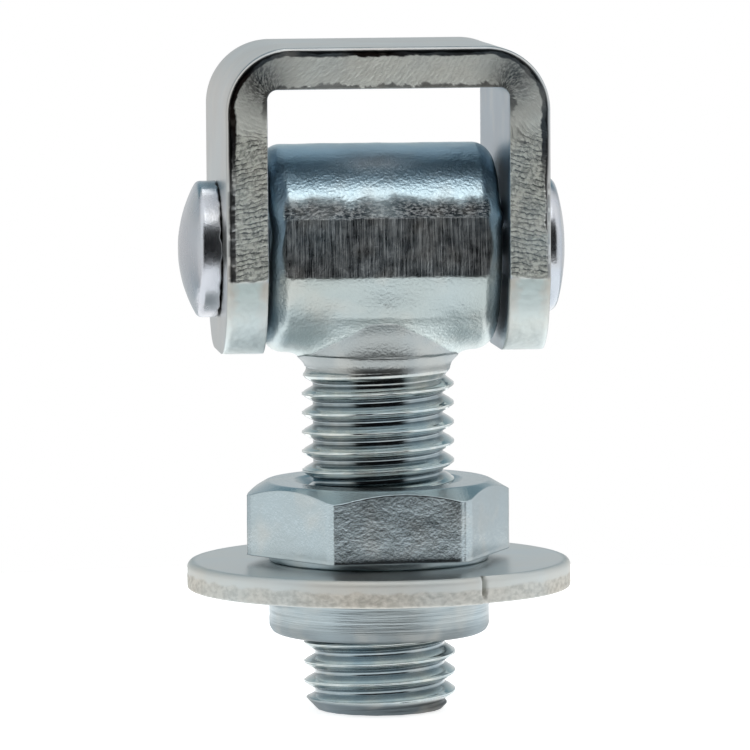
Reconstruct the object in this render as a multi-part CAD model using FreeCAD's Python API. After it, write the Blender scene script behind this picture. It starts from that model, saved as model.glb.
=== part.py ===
import FreeCAD, Part
import math
import os

# Adjustable gate hinge, in millimetres.
# A bent strap bracket swings on a riveted pin through the eye of a forged eye bolt. The stud
# of the eye bolt screws into the threaded boss of a weld-on flange and is held by a lock nut.
# The origin is the middle of the bracket's outer face, which is fixed to the post. +Z points
# out of that face, +X runs along the pin to its peened end, and the stud hangs along -Z.

# Eye bolt: the eye is a solid barrel with the pin's bore along X
EYE_R = 13.45
EYE_LENGTH = 30.0
EYE_END_FILLET = 2.6
TRIM_HEIGHT = 7.8
NECK_FILLET = 2.8
NECK_LENGTH = 3.0
STUD_R = 9.9
STUD_REACH = 60.2
STUD_CHAMFER = 1.9
SHANK_R = 9.4
RUNOUT_LENGTH = 1.2

# Hinge pin: a shank between a forged head and a head peened over at assembly
PIN_R = 6.0
HEAD_R = 8.85
HEAD_RIM = 2.55
HEAD_DOME = 2.45
HEAD_ROUND = 0.8
PEEN_RIM = 2.1
PEEN_DOME = 1.4
PEEN_ROUND = 1.3

# Bracket: flat bar folded into a U, with a web and two ears
STRAP_WIDTH = 30.0
STRAP_THICKNESS = 5.3
EYE_HEADROOM = 7.7
EAR_PAST_PIN = 13.2
EAR_TAPER_START = 3.3
EAR_TAPER_ANGLE = 18.0
EAR_CORNER_R = 9.0
BEND_OUTER_R = 8.3
BEND_INNER_R = 1.3
STRAP_EDGE_R = 0.6

# Lock nut, hexagonal, with one washer face
NUT_FLATS = 30.7
NUT_HEIGHT = 10.4
NUT_TURN = 4.5
NUT_CHAMFER_SHARE = 0.95
NUT_CHAMFER_ANGLE = 30.0
WASHER_FACE_HEIGHT = 1.0
THREAD_MOUTH = 1.0

# Weld-on flange: a stamped disc with a turned threaded boss pressed into it
FLANGE_DROP = 40.7
DISC_R = 25.0
DISC_THICKNESS = 3.5
DISC_ROLL = 0.8
DISC_LOWER_EDGE = 0.3
SPIGOT_R = 12.2
SPIGOT_RECESS = 0.3
BOSS_SEAT = 0.5
SEAT_CLEARANCE = 0.3
BOSS_R = 14.35
BOSS_HEIGHT = 6.0
BOSS_ROUND = 1.4

# Clearances
SIDE_PLAY = 0.5
PIN_FIT = 0.06
THREAD_FIT = 0.1

# Places, as heights on the Z axis
WEB_INNER_Z = -STRAP_THICKNESS
PIN_Z = WEB_INNER_Z - EYE_HEADROOM - EYE_R
EAR_TAPER_Z = PIN_Z - EAR_TAPER_START
EAR_END_Z = PIN_Z - EAR_PAST_PIN
NECK_END_Z = PIN_Z - EYE_R - NECK_LENGTH
STUD_END_Z = PIN_Z - STUD_REACH
DISC_TOP_Z = PIN_Z - FLANGE_DROP
DISC_UNDER_Z = DISC_TOP_Z - DISC_THICKNESS
SHOULDER_Z = DISC_UNDER_Z + BOSS_SEAT
BOSS_END_Z = DISC_UNDER_Z - BOSS_HEIGHT
NUT_TOP_Z = DISC_TOP_Z + NUT_HEIGHT
INNER_HALF = EYE_LENGTH / 2 + SIDE_PLAY
OUTER_HALF = INNER_HALF + STRAP_THICKNESS
THREAD_BORE_R = STUD_R + THREAD_FIT


def vec(x, y, z):
    return FreeCAD.Vector(x, y, z)


def line(a, b):
    return Part.LineSegment(a, b).toShape()


def arc(a, middle, b):
    return Part.Arc(a, middle, b).toShape()


def face_of(edges):
    return Part.Face(Part.Wire(Part.__sortEdges__(edges)))


def outline(points):
    """A closed wire through (point, corner radius) pairs, each corner rounded by its radius."""
    edges = []
    count = len(points)
    starts = []
    ends = []
    middles = []
    for i in range(count):
        corner, radius = points[i]
        before = (points[i - 1][0] - corner).normalize()
        after = (points[(i + 1) % count][0] - corner).normalize()
        half = before.getAngle(after) / 2
        if radius > 0:
            reach = radius / math.tan(half)
            to_centre = (before + after).normalize()
            starts.append(corner + before * reach)
            ends.append(corner + after * reach)
            middles.append(corner + to_centre * (radius / math.sin(half) - radius))
        else:
            starts.append(corner)
            ends.append(corner)
            middles.append(None)
    for i in range(count):
        if middles[i] is not None:
            edges.append(arc(starts[i], middles[i], ends[i]))
        edges.append(line(ends[i], starts[(i + 1) % count]))
    return Part.Wire(edges)


def turned(points):
    """A solid turned about Z from (radius, height, corner radius) points of its half section."""
    wire = outline([(vec(r, 0, z), corner) for r, z, corner in points])
    return Part.Face(wire).revolve(vec(0, 0, 0), vec(0, 0, 1), 360)


def laid_along_x(shape, z):
    """Turns a solid made about Z onto the X axis, at height z: its +Z end faces +X."""
    placed = shape.copy()
    placed.rotate(vec(0, 0, 0), vec(0, 1, 0), 90)
    placed.translate(vec(0, 0, z))
    return placed


def cylinder(radius, length, base, direction):
    return Part.makeCylinder(radius, length, base, direction)


def make_bracket():
    """The U seen along Y, extruded by the bar's width, then cut to the ears' tapered, rounded ends."""
    half_width = STRAP_WIDTH / 2
    u_shape = outline([
        (vec(-OUTER_HALF, -half_width, EAR_END_Z), 0),
        (vec(-OUTER_HALF, -half_width, 0), BEND_OUTER_R),
        (vec(OUTER_HALF, -half_width, 0), BEND_OUTER_R),
        (vec(OUTER_HALF, -half_width, EAR_END_Z), 0),
        (vec(INNER_HALF, -half_width, EAR_END_Z), 0),
        (vec(INNER_HALF, -half_width, WEB_INNER_Z), BEND_INNER_R),
        (vec(-INNER_HALF, -half_width, WEB_INNER_Z), BEND_INNER_R),
        (vec(-INNER_HALF, -half_width, EAR_END_Z), 0),
    ])
    body = Part.Face(u_shape).extrude(vec(0, STRAP_WIDTH, 0))
    outer_edges = []
    for edge in body.Edges:
        box = edge.BoundBox
        on_side = abs(abs(box.YMin) - half_width) < 0.001 and box.YLength < 0.001
        is_inner = box.XMin > -OUTER_HALF + 0.1 and box.XMax < OUTER_HALF - 0.1 and box.ZMax < -0.1
        is_end = box.ZLength < 0.001 and box.ZMax < PIN_Z
        if on_side and not is_inner and not is_end:
            outer_edges.append(edge)
    body = body.makeFillet(STRAP_EDGE_R, outer_edges)
    taper = math.tan(math.radians(EAR_TAPER_ANGLE))
    end_half = half_width - (EAR_TAPER_Z - EAR_END_Z) * taper
    side_view = outline([
        (vec(-OUTER_HALF, -half_width, 0), 0),
        (vec(-OUTER_HALF, half_width, 0), 0),
        (vec(-OUTER_HALF, half_width, EAR_TAPER_Z), 0),
        (vec(-OUTER_HALF, end_half, EAR_END_Z), EAR_CORNER_R),
        (vec(-OUTER_HALF, -end_half, EAR_END_Z), EAR_CORNER_R),
        (vec(-OUTER_HALF, -half_width, EAR_TAPER_Z), 0),
    ])
    body = body.common(Part.Face(side_view).extrude(vec(2 * OUTER_HALF, 0, 0)))
    hole = cylinder(PIN_R, 2 * OUTER_HALF, vec(-OUTER_HALF, 0, PIN_Z), vec(1, 0, 0))
    return body.cut(hole)


def head(rim, dome, rounding):
    """A rivet head on the plane z = 0: a round rim, a rounded shoulder and a shallow dome."""
    sphere_r = (HEAD_R ** 2 + dome ** 2) / (2 * dome)
    half_angle = math.asin(HEAD_R / sphere_r) / 2
    shoulder = vec(HEAD_R, 0, rim)
    top = vec(0, 0, rim + dome)
    middle = vec(sphere_r * math.sin(half_angle), 0, rim + dome - sphere_r * (1 - math.cos(half_angle)))
    section = face_of([
        line(vec(0, 0, 0), vec(HEAD_R, 0, 0)),
        line(vec(HEAD_R, 0, 0), shoulder),
        arc(shoulder, middle, top),
        line(top, vec(0, 0, 0)),
    ])
    solid = section.revolve(vec(0, 0, 0), vec(0, 0, 1), 360)
    shoulder_edges = []
    for edge in solid.Edges:
        box = edge.BoundBox
        if box.ZLength < 0.001 and abs(box.ZMin - rim) < 0.001:
            shoulder_edges.append(edge)
    return solid.makeFillet(rounding, shoulder_edges)


def make_hinge_pin():
    """One rivet: the shank fills both ears' holes, and the heads bear on the ears' outer faces."""
    shank = cylinder(PIN_R, 2 * OUTER_HALF, vec(0, 0, -OUTER_HALF), vec(0, 0, 1))
    peened = head(PEEN_RIM, PEEN_DOME, PEEN_ROUND)
    peened.translate(vec(0, 0, OUTER_HALF))
    forged = head(HEAD_RIM, HEAD_DOME, HEAD_ROUND)
    forged.rotate(vec(0, 0, 0), vec(0, 1, 0), 180)
    forged.translate(vec(0, 0, -OUTER_HALF))
    return laid_along_x(shank.fuse([peened, forged]).removeSplitter(), PIN_Z)


def make_eye_bolt():
    """The forging: barrel trimmed flat where the die flash was, filleted neck, then the stud."""
    half = EYE_LENGTH / 2
    barrel = laid_along_x(turned([
        (0, -half, 0),
        (EYE_R, -half, EYE_END_FILLET),
        (EYE_R, half, EYE_END_FILLET),
        (0, half, 0),
    ]), PIN_Z)
    shank_end = NECK_END_Z - RUNOUT_LENGTH
    shank = cylinder(SHANK_R, PIN_Z - shank_end, vec(0, 0, shank_end), vec(0, 0, 1))
    body = barrel.fuse(shank)
    neck_edges = []
    for edge in body.Edges:
        box = edge.BoundBox
        round_shank = abs(box.XMax - SHANK_R) < 0.001 or abs(box.XMin + SHANK_R) < 0.001
        if round_shank and box.ZMax < PIN_Z and box.ZMin > shank_end + 0.001:
            neck_edges.append(edge)
    body = body.makeFillet(NECK_FILLET, neck_edges)
    trim_y = math.sqrt(EYE_R ** 2 - (TRIM_HEIGHT / 2) ** 2)
    trimmed = Part.makeBox(EYE_LENGTH, 2 * trim_y, 4 * EYE_R, vec(-half, -trim_y, PIN_Z - 3 * EYE_R))
    body = body.common(trimmed)
    stud = turned([
        (0, shank_end, 0),
        (SHANK_R, shank_end, 0),
        (STUD_R, shank_end - (STUD_R - SHANK_R), 0),
        (STUD_R, STUD_END_Z + STUD_CHAMFER, 0),
        (STUD_R - STUD_CHAMFER, STUD_END_Z, 0),
        (0, STUD_END_Z, 0),
    ])
    body = body.fuse(stud)
    bore_r = PIN_R + PIN_FIT
    bore = cylinder(bore_r, EYE_LENGTH + 2, vec(-half - 1, 0, PIN_Z), vec(1, 0, 0))
    return body.cut(bore).removeSplitter()


def thread_bore(bottom, top):
    """The hole for the stud, with a 45 degree mouth at both ends."""
    mouth_r = THREAD_BORE_R + THREAD_MOUTH
    return turned([
        (0, bottom, 0),
        (mouth_r, bottom, 0),
        (THREAD_BORE_R, bottom + THREAD_MOUTH, 0),
        (THREAD_BORE_R, top - THREAD_MOUTH, 0),
        (mouth_r, top, 0),
        (0, top, 0),
    ])


def make_lock_nut():
    """A hexagon cut by a turned blank, which leaves the chamfer's arcs and the washer face."""
    corner_r = NUT_FLATS / 2 / math.cos(math.radians(30))
    corners = []
    for i in range(6):
        angle = math.radians(NUT_TURN + 60 * i)
        corners.append((vec(corner_r * math.cos(angle), corner_r * math.sin(angle), DISC_TOP_Z), 0))
    hexagon = Part.Face(outline(corners)).extrude(vec(0, 0, NUT_HEIGHT))
    slope = math.tan(math.radians(NUT_CHAMFER_ANGLE))
    chamfer_r = NUT_FLATS / 2 * NUT_CHAMFER_SHARE
    blank_r = corner_r + 1
    seat_z = DISC_TOP_Z + WASHER_FACE_HEIGHT
    blank = turned([
        (0, DISC_TOP_Z, 0),
        (chamfer_r, DISC_TOP_Z, 0),
        (chamfer_r, seat_z, 0),
        (blank_r, seat_z, 0),
        (blank_r, NUT_TOP_Z - (blank_r - chamfer_r) * slope, 0),
        (chamfer_r, NUT_TOP_Z, 0),
        (0, NUT_TOP_Z, 0),
    ])
    return hexagon.common(blank).cut(thread_bore(DISC_TOP_Z, NUT_TOP_Z))


def make_flange_disc():
    """Blanked from plate, with its upper edge rolled in by the die; sunk to seat the boss."""
    return turned([
        (SPIGOT_R, SHOULDER_Z, 0),
        (BOSS_R, SHOULDER_Z, 0),
        (BOSS_R, DISC_UNDER_Z, 0),
        (DISC_R, DISC_UNDER_Z, DISC_LOWER_EDGE),
        (DISC_R, DISC_TOP_Z, DISC_ROLL),
        (SPIGOT_R, DISC_TOP_Z, 0),
    ])


def make_threaded_boss():
    """A turned bush: its spigot fills the disc's hole and its shoulder bears in the disc's seat."""
    spigot_top = DISC_TOP_Z - SPIGOT_RECESS
    blank = turned([
        (0, BOSS_END_Z, 0),
        (BOSS_R, BOSS_END_Z, BOSS_ROUND),
        (BOSS_R, DISC_UNDER_Z, 0),
        (BOSS_R - SEAT_CLEARANCE, DISC_UNDER_Z, 0),
        (BOSS_R - SEAT_CLEARANCE, SHOULDER_Z, 0),
        (SPIGOT_R, SHOULDER_Z, 0),
        (SPIGOT_R, spigot_top, 0),
        (0, spigot_top, 0),
    ])
    return blank.cut(thread_bore(BOSS_END_Z, spigot_top))


def save(name, shape):
    solid = shape.Solids[0]
    solid.exportStep(os.path.join("parts", name + ".step"))
    print(name, "solids", len(shape.Solids), "valid", solid.isValid(), "volume", round(solid.Volume, 1))


os.makedirs("parts", exist_ok=True)
save("bracket", make_bracket())
save("hinge_pin", make_hinge_pin())
save("eye_bolt", make_eye_bolt())
save("lock_nut", make_lock_nut())
save("flange_disc", make_flange_disc())
save("threaded_boss", make_threaded_boss())
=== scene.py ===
"""Looks of the adjustable gate hinge: zinc-plated steel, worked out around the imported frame.

Every surface is a function of two parameters, computed with numpy in millimetres and put into a
mesh in metres. Sizes and places come from the frame's boxes and from a few named real sizes.
"""

import math

import bmesh
import bpy
import numpy as np
from mathutils import Matrix, Vector


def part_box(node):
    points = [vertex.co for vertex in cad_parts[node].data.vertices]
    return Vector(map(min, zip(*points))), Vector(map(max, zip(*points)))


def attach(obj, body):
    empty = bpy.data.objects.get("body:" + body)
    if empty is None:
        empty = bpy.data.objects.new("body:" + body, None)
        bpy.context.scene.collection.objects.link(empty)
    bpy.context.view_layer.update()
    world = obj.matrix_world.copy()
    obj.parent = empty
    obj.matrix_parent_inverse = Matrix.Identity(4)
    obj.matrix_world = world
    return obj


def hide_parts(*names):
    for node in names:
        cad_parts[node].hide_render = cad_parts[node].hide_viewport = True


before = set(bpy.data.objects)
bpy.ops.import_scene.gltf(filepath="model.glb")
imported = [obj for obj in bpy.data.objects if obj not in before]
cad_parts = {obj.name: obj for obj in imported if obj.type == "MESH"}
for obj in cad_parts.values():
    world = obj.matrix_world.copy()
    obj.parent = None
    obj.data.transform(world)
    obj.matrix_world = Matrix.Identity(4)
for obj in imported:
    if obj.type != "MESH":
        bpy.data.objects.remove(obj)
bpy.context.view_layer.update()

MM = 0.001
SAME_PLACE = 1e-6


def box_mm(node):
    """The lowest and highest corner of a node, in millimetres."""
    low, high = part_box(node)
    return np.array(low) / MM, np.array(high) / MM


# Places and sizes read from the frame
strap_low, strap_high = box_mm("bracket")
pin_low, pin_high = box_mm("hinge_pin")
bolt_low, bolt_high = box_mm("eye_bolt")
nut_low, nut_high = box_mm("lock_nut")
disc_low, disc_high = box_mm("flange_disc")
boss_low, boss_high = box_mm("threaded_boss")

PIN_Z = (pin_low[2] + pin_high[2]) / 2
HEAD_R = (pin_high[2] - pin_low[2]) / 2
EYE_R = bolt_high[2] - PIN_Z
EYE_HALF = bolt_high[0]
TRIM_Y = bolt_high[1]
STUD_END_Z = bolt_low[2]
STRAP_HALF = strap_high[1]
OUTER_HALF = strap_high[0]
EAR_END_Z = strap_low[2]
NUT_TOP_Z = nut_high[2]
DISC_TOP_Z = disc_high[2]
DISC_UNDER_Z = disc_low[2]
DISC_R = disc_high[0]
BOSS_R = boss_high[0]
BOSS_END_Z = boss_low[2]

# Real sizes that the boxes don't give
STRAP_THICKNESS = 5.3
BEND_OUTER_R = 8.3
BEND_INNER_R = 1.3
EAR_TAPER_START = 3.3
EAR_TAPER_ANGLE = 18.0
EAR_CORNER_R = 9.0
ROLLED_EDGE_R = 0.75
SHARP_EDGE_R = 0.25
PIN_R = 6.0
BORE_R = 6.06
HEAD_RIM = 2.55
HEAD_ROUND = 0.8
PEEN_RIM = 2.1
PEEN_ROUND = 1.3
EYE_END_FILLET = 2.6
NECK_FILLET = 2.8
NECK_LENGTH = 3.0
SHANK_R = 9.4
STUD_R = 9.9
ROOT_R = 8.45
PITCH = 2.5
STUD_TIP_R = 8.0
NUT_FLATS = 30.7
NUT_TURN = 4.5
NUT_CHAMFER_R = 14.58
NUT_CHAMFER_ANGLE = 30.0
WASHER_FACE_HEIGHT = 1.0
THREAD_BORE_R = 8.7
THREAD_MOUTH_R = 11.0
DISC_ROLL = 0.8
BOSS_ROUND = 1.4
SPIGOT_INSET = 2.15

# Places worked out from them
INNER_HALF = OUTER_HALF - STRAP_THICKNESS
NECK_END_Z = PIN_Z - EYE_R - NECK_LENGTH
SPIGOT_R = BOSS_R - SPIGOT_INSET


# Numpy helpers

def ease(low, high, x):
    """0 below low, 1 above high, and a smooth cubic between."""
    t = np.clip((x - low) / (high - low), 0, 1)
    return t * t * (3 - 2 * t)


def lattice(ix, iy, iz, seed):
    """A fixed value from -1 to 1 for each whole-number cell, mixed from its three coordinates."""
    mixed = (ix * 374761393 + iy * 668265263 + iz * 1103515245 + seed * 974634777) & 0xFFFFFFFF
    mixed = ((mixed ^ (mixed >> 13)) * 1274126177) & 0xFFFFFFFF
    return ((mixed ^ (mixed >> 16)) & 0xFFFF) / 32767.5 - 1


def noise(x, y, z, cell, seed):
    """Smooth noise from -1 to 1: cubic blends between the lattice values of cells.

    cell is the cells' size in mm, one for all axes or one for each.
    """
    cell = cell if isinstance(cell, tuple) else (cell, cell, cell)
    scaled = [np.asarray(c, float) / size for c, size in zip((x, y, z), cell)]
    base = [np.floor(c).astype(np.int64) for c in scaled]
    part = [c - b for c, b in zip(scaled, base)]
    part = [p * p * (3 - 2 * p) for p in part]
    total = 0.0
    for corner in range(8):
        step = (corner & 1, corner >> 1 & 1, corner >> 2 & 1)
        weight = 1.0
        for axis in range(3):
            weight = weight * (part[axis] if step[axis] else 1 - part[axis])
        total = total + weight * lattice(base[0] + step[0], base[1] + step[1], base[2] + step[2], seed)
    return total


def layers(x, y, z, *parts):
    """Noises added up, each given by its height, its cell and its seed."""
    return sum(height * noise(x, y, z, cell, seed) for height, cell, seed in parts)


def course(s, *parts, side=0):
    """Layers of noise that run along one length only, with a course of their own on each side."""
    return layers(s, 0 * s, side + 0 * s, *((height, (cell, 1, 1), seed) for height, cell, seed in parts))


def grid_mesh(name, x, y, z, round_rows=False, row_shift=0, attributes=None):
    """A closed mesh through a grid of points in mm, its last column joined to its first.

    round_rows joins the last row to the first too. row_shift joins the end of each row to the
    start of the row that many earlier, as on a screw. Rows whose points coincide close a pole.
    """
    rows, columns = x.shape
    points = np.stack([x, y, z], axis=-1).reshape(-1, 3) * MM
    row = np.arange(rows if round_rows else rows - 1)[:, None]
    column = np.arange(columns)[None, :]
    wraps = column == columns - 1
    next_column = (column + 1) % columns
    below = (row + 1) % rows
    shift = np.where(wraps, row_shift, 0)
    quads = np.stack([
        row * columns + column,
        np.clip(row - shift, 0, rows - 1) * columns + next_column,
        np.clip(below - shift, 0, rows - 1) * columns + next_column,
        below * columns + column,
    ], axis=-1).reshape(-1, 4)
    a, b, c, d = (points[quads[:, corner]] for corner in range(4))
    if np.sum(a * (np.cross(b, c) + np.cross(c, d))) < 0:
        quads = quads[:, ::-1]
    mesh = bpy.data.meshes.new(name)
    mesh.vertices.add(len(points))
    mesh.vertices.foreach_set("co", points.astype(np.float32).ravel())
    mesh.loops.add(quads.size)
    mesh.loops.foreach_set("vertex_index", quads.astype(np.int32).ravel())
    mesh.polygons.add(len(quads))
    mesh.polygons.foreach_set("loop_start", np.arange(0, quads.size, 4, dtype=np.int32))
    mesh.update(calc_edges=True)
    for label, values in (attributes or {}).items():
        kind, key = ("FLOAT_VECTOR", "vector") if values.ndim == 3 else ("FLOAT", "value")
        layer = mesh.attributes.new(label, kind, "POINT").data
        layer.foreach_set(key, values.astype(np.float32).ravel())
    merged = bmesh.new()
    merged.from_mesh(mesh)
    bmesh.ops.remove_doubles(merged, verts=merged.verts, dist=SAME_PLACE)
    merged.to_mesh(mesh)
    merged.free()
    mesh.shade_smooth()
    piece = bpy.data.objects.new(name, mesh)
    bpy.context.scene.collection.objects.link(piece)
    return piece


def cut_bore(piece, radius, half_length, z):
    """Bores a hole along X through a finished piece."""
    bpy.ops.mesh.primitive_cylinder_add(vertices=96, radius=radius * MM, depth=2 * half_length * MM,
                                        location=(0, 0, z * MM), rotation=(0, math.pi / 2, 0))
    drill = bpy.context.object
    cut = piece.modifiers.new("bore", "BOOLEAN")
    cut.operation = "DIFFERENCE"
    cut.solver = "EXACT"
    cut.object = drill
    bored = bpy.data.meshes.new_from_object(piece.evaluated_get(bpy.context.evaluated_depsgraph_get()))
    piece.modifiers.clear()
    piece.data = bored
    bpy.data.objects.remove(drill)
    bored.shade_smooth()


def dress(piece, body, node, material):
    """Gives a finished piece its body, the node that it stands for and its material."""
    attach(piece, body)
    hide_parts(node)
    piece.data.materials.clear()
    piece.data.materials.append(material)


def spaced(stops, spacing):
    """Values through the stops in order, evenly spaced between each pair, each stop met exactly."""
    runs = []
    for start, end in zip(stops[:-1], stops[1:]):
        count = max(1, round(abs(end - start) / spacing))
        runs.append(np.linspace(start, end, count, endpoint=False))
    return np.concatenate(runs + [[stops[-1]]])


def rounded_path(corners, spacing):
    """Points along an open outline of (u, v, corner radius), with round corners, as two arrays.

    Each corner's arc touches both of its sides, and the straight runs between are divided evenly.
    """
    us = []
    vs = []
    previous = np.array(corners[0][:2], float)
    for i, (u, v, radius) in enumerate(corners):
        here = np.array([u, v], float)
        if 0 < i < len(corners) - 1 and radius > 0:
            to_before, to_after = (np.array(corners[i + way][:2]) - here for way in (-1, 1))
            to_before = to_before / np.linalg.norm(to_before)
            to_after = to_after / np.linalg.norm(to_after)
            half = math.acos(np.clip(to_before @ to_after, -1, 1)) / 2
            start = here + to_before * radius / math.tan(half)
            inward = to_before + to_after
            centre = here + inward / np.linalg.norm(inward) * radius / math.sin(half)
            first = math.atan2(start[1] - centre[1], start[0] - centre[0])
            end = here + to_after * radius / math.tan(half)
            last = math.atan2(end[1] - centre[1], end[0] - centre[0])
            turn = (last - first + math.pi) % (2 * math.pi) - math.pi
            angles = first + turn * np.linspace(0, 1, max(5, round(abs(turn) * radius / spacing) + 1))
            arc_u = centre[0] + radius * np.cos(angles)
            arc_v = centre[1] + radius * np.sin(angles)
        else:
            arc_u = np.array([u], float)
            arc_v = np.array([v], float)
        entry = np.array([arc_u[0], arc_v[0]])
        if i > 0:
            count = max(1, round(float(np.linalg.norm(entry - previous)) / spacing))
            share = np.arange(1, count) / count
            us.append(previous[0] + (entry[0] - previous[0]) * share)
            vs.append(previous[1] + (entry[1] - previous[1]) * share)
        us.append(arc_u)
        vs.append(arc_v)
        previous = np.array([arc_u[-1], arc_v[-1]])
    return np.concatenate(us), np.concatenate(vs)


def full_turn(columns):
    """One row of angles round a full turn."""
    return np.linspace(0, 2 * math.pi, columns, endpoint=False)[None, :]


def about_z(r, angle):
    """x and y of a radius at an angle, counted from -Y towards +X."""
    return r * np.sin(angle), -r * np.cos(angle)


# Pieces

def bracket_section(half_width, thickness):
    """The bar's cross-section for each row: across the width and through the thickness, in mm.

    A rectangle with the two outer edges rolled round and the two inner edges nearly sharp, as
    columns round it: inner face, back edge, outer face, front edge.
    """
    w = half_width[:, None]
    t = thickness[:, None]
    flat = np.linspace(-1, 1, 15)[None, :]
    outer_flat = np.linspace(1, -1, 19)[None, :]
    through = np.linspace(0, 1, 40)[None, 1:-1]
    quarter = np.linspace(0, math.pi / 2, 7)[None, :]
    ri = SHARP_EDGE_R
    ro = ROLLED_EDGE_R
    wi, wo = w - ri, w - ro
    across = [
        flat * wi,
        wi + ri * np.sin(quarter),
        w + 0 * through,
        wo + ro * np.cos(quarter),
        outer_flat * wo,
        -wo - ro * np.sin(quarter),
        -w + 0 * through,
        -wi - ri * np.cos(quarter),
    ]
    rise = t - ro
    depth = [
        0 * flat + 0 * w,
        ri - ri * np.cos(quarter) + 0 * w,
        ri + through * (rise - ri),
        rise + ro * np.sin(quarter),
        t + 0 * outer_flat,
        rise + ro * np.cos(quarter),
        ri + through[:, ::-1] * (rise - ri),
        ri - ri * np.sin(quarter) + 0 * w,
    ]
    return np.concatenate(across, axis=1), np.concatenate(depth, axis=1)


def make_bracket():
    """Flat bar carried along its bent path.

    The path pairs a point of the bar's outer face with one of its inner face: straight up an
    ear, round the bend on two arcs, along the web and down the other ear. The ears' ends are
    round, so the section narrows there, and the last rows close the end. The sheared front and
    back edges carry fine tears across the bar.
    """
    step = 0.188
    mid_depth = 2.6
    on_web, at_bend, on_ears = 0.012, 0.06, 0.055
    bend_top = -BEND_OUTER_R
    inner_top = -STRAP_THICKNESS - BEND_INNER_R
    taper = math.radians(EAR_TAPER_ANGLE)
    kink_z = PIN_Z - EAR_TAPER_START
    corner_z = EAR_END_Z + EAR_CORNER_R
    corner_y = STRAP_HALF - (kink_z - corner_z) * math.tan(taper) - EAR_CORNER_R / math.cos(taper)
    round_end = spaced([math.pi / 2, taper], step / EAR_CORNER_R)
    arc_z = corner_z - EAR_CORNER_R * np.sin(round_end)
    ear = np.concatenate([arc_z, spaced([arc_z[-1], kink_z, bend_top], step)[1:]])
    turn = spaced([0, math.pi / 2], step / BEND_OUTER_R)
    half_web = spaced([-(OUTER_HALF - BEND_OUTER_R), 0], step)
    share = (ear - EAR_END_Z) / (bend_top - EAR_END_Z)

    def face_path(half, radius, top_z, ear_z, web_x):
        x = [-half + 0 * ear, radius - half - radius * np.cos(turn[1:]), web_x[1:]]
        z = [ear_z, top_z - radius + radius * np.sin(turn[1:]), top_z + 0 * web_x[1:]]
        return np.concatenate(x), np.concatenate(z)

    outer_x, outer_z = face_path(OUTER_HALF, BEND_OUTER_R, 0, ear, half_web)
    inner_ear = EAR_END_Z + share * (inner_top - EAR_END_Z)
    inner_web = -(half_web / half_web[0]) * (INNER_HALF - BEND_INNER_R)
    inner_x, inner_z = face_path(INNER_HALF, BEND_INNER_R, -STRAP_THICKNESS, inner_ear, inner_web)
    along = np.concatenate([[0], np.cumsum(np.hypot(np.diff(outer_x), np.diff(outer_z)))])
    outer_x, inner_x = (np.concatenate([half, -half[-2::-1]]) for half in (outer_x, inner_x))
    outer_z, inner_z = (np.concatenate([half, half[-2::-1]]) for half in (outer_z, inner_z))
    along = np.concatenate([along, 2 * along[-1] - along[-2::-1]])

    height = np.minimum(outer_z, inner_z)
    drop = np.clip(corner_z - height, 0, EAR_CORNER_R)
    half_width = np.minimum(STRAP_HALF, STRAP_HALF - (kink_z - height) * math.tan(taper))
    on_arc = corner_y + np.sqrt(EAR_CORNER_R ** 2 - drop ** 2)
    half_width = np.where(height < arc_z[-1], on_arc, half_width)
    thickness = np.hypot(outer_x - inner_x, outer_z - inner_z)
    closing = np.array([1.0, 0.985, 0.93, 0.7, 0.4, 0.0])
    first, last = [0] * len(closing), [len(along) - 1] * len(closing)
    rows = np.array(first + list(range(1, len(along) - 1)) + last)
    shrink = np.concatenate([closing[::-1], np.ones(len(along) - 2), closing])[:, None]
    shaped = (outer_x, outer_z, inner_x, inner_z, along, half_width, thickness)
    outer_x, outer_z, inner_x, inner_z, along, half_width, thickness = (v[rows] for v in shaped)

    across, depth = bracket_section(half_width, thickness)
    middle = thickness[:, None] / 2
    across = across * shrink
    depth = middle + (depth - middle) * shrink
    ratio = depth / thickness[:, None]
    x = inner_x[:, None] + (outer_x - inner_x)[:, None] * ratio
    z = inner_z[:, None] + (outer_z - inner_z)[:, None] * ratio
    s = along[:, None] + 0 * ratio
    ear_down = ease(kink_z + 0.3, kink_z - 0.3, z)
    side = np.sign(across)
    from_outer = thickness[:, None] - depth

    # The sheared skin and its tears across the bar, deeper at the bends and on the ears
    edge = STRAP_HALF - np.abs(across)
    at_edge = ease(0.16, 0.02, edge) * (1 - ear_down)
    wander = course(s, (0.25, 2.1, 3), (0.12, 0.5, 5), side=side)
    sheared = at_edge * ease(0.55, 0.85, from_outer + wander)
    bend = np.exp(-((np.abs(x) - 16.2) / 3.3) ** 2 - ((z + 4.2) / 3.7) ** 2)
    slant = s + 0.35 * (depth - mid_depth) * np.sign(x)
    tears = layers(slant, across / 9, depth, (1, (0.42, 1, 2.0), 11), (0.6, (0.9, 1, 1.1), 12))
    tears = tears + 0.5 * noise(s, across / 9, depth, (0.35, 1, 0.5), 13)
    deep = on_web + at_bend * bend + on_ears * ease(-8, -16, z)
    y = across + side * sheared * (tears * deep - 0.05)

    # Rolled faces, a little wavy away from the edges
    bulge = np.abs(0.035 * noise(x, y, z, 7, 21) * (1 - ease(3, 0.6, edge)))
    inwards = -bulge * (ratio * 2 - 1) * shrink / thickness[:, None]
    x = x + (outer_x - inner_x)[:, None] * inwards
    z = z + (outer_z - inner_z)[:, None] * inwards

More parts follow.
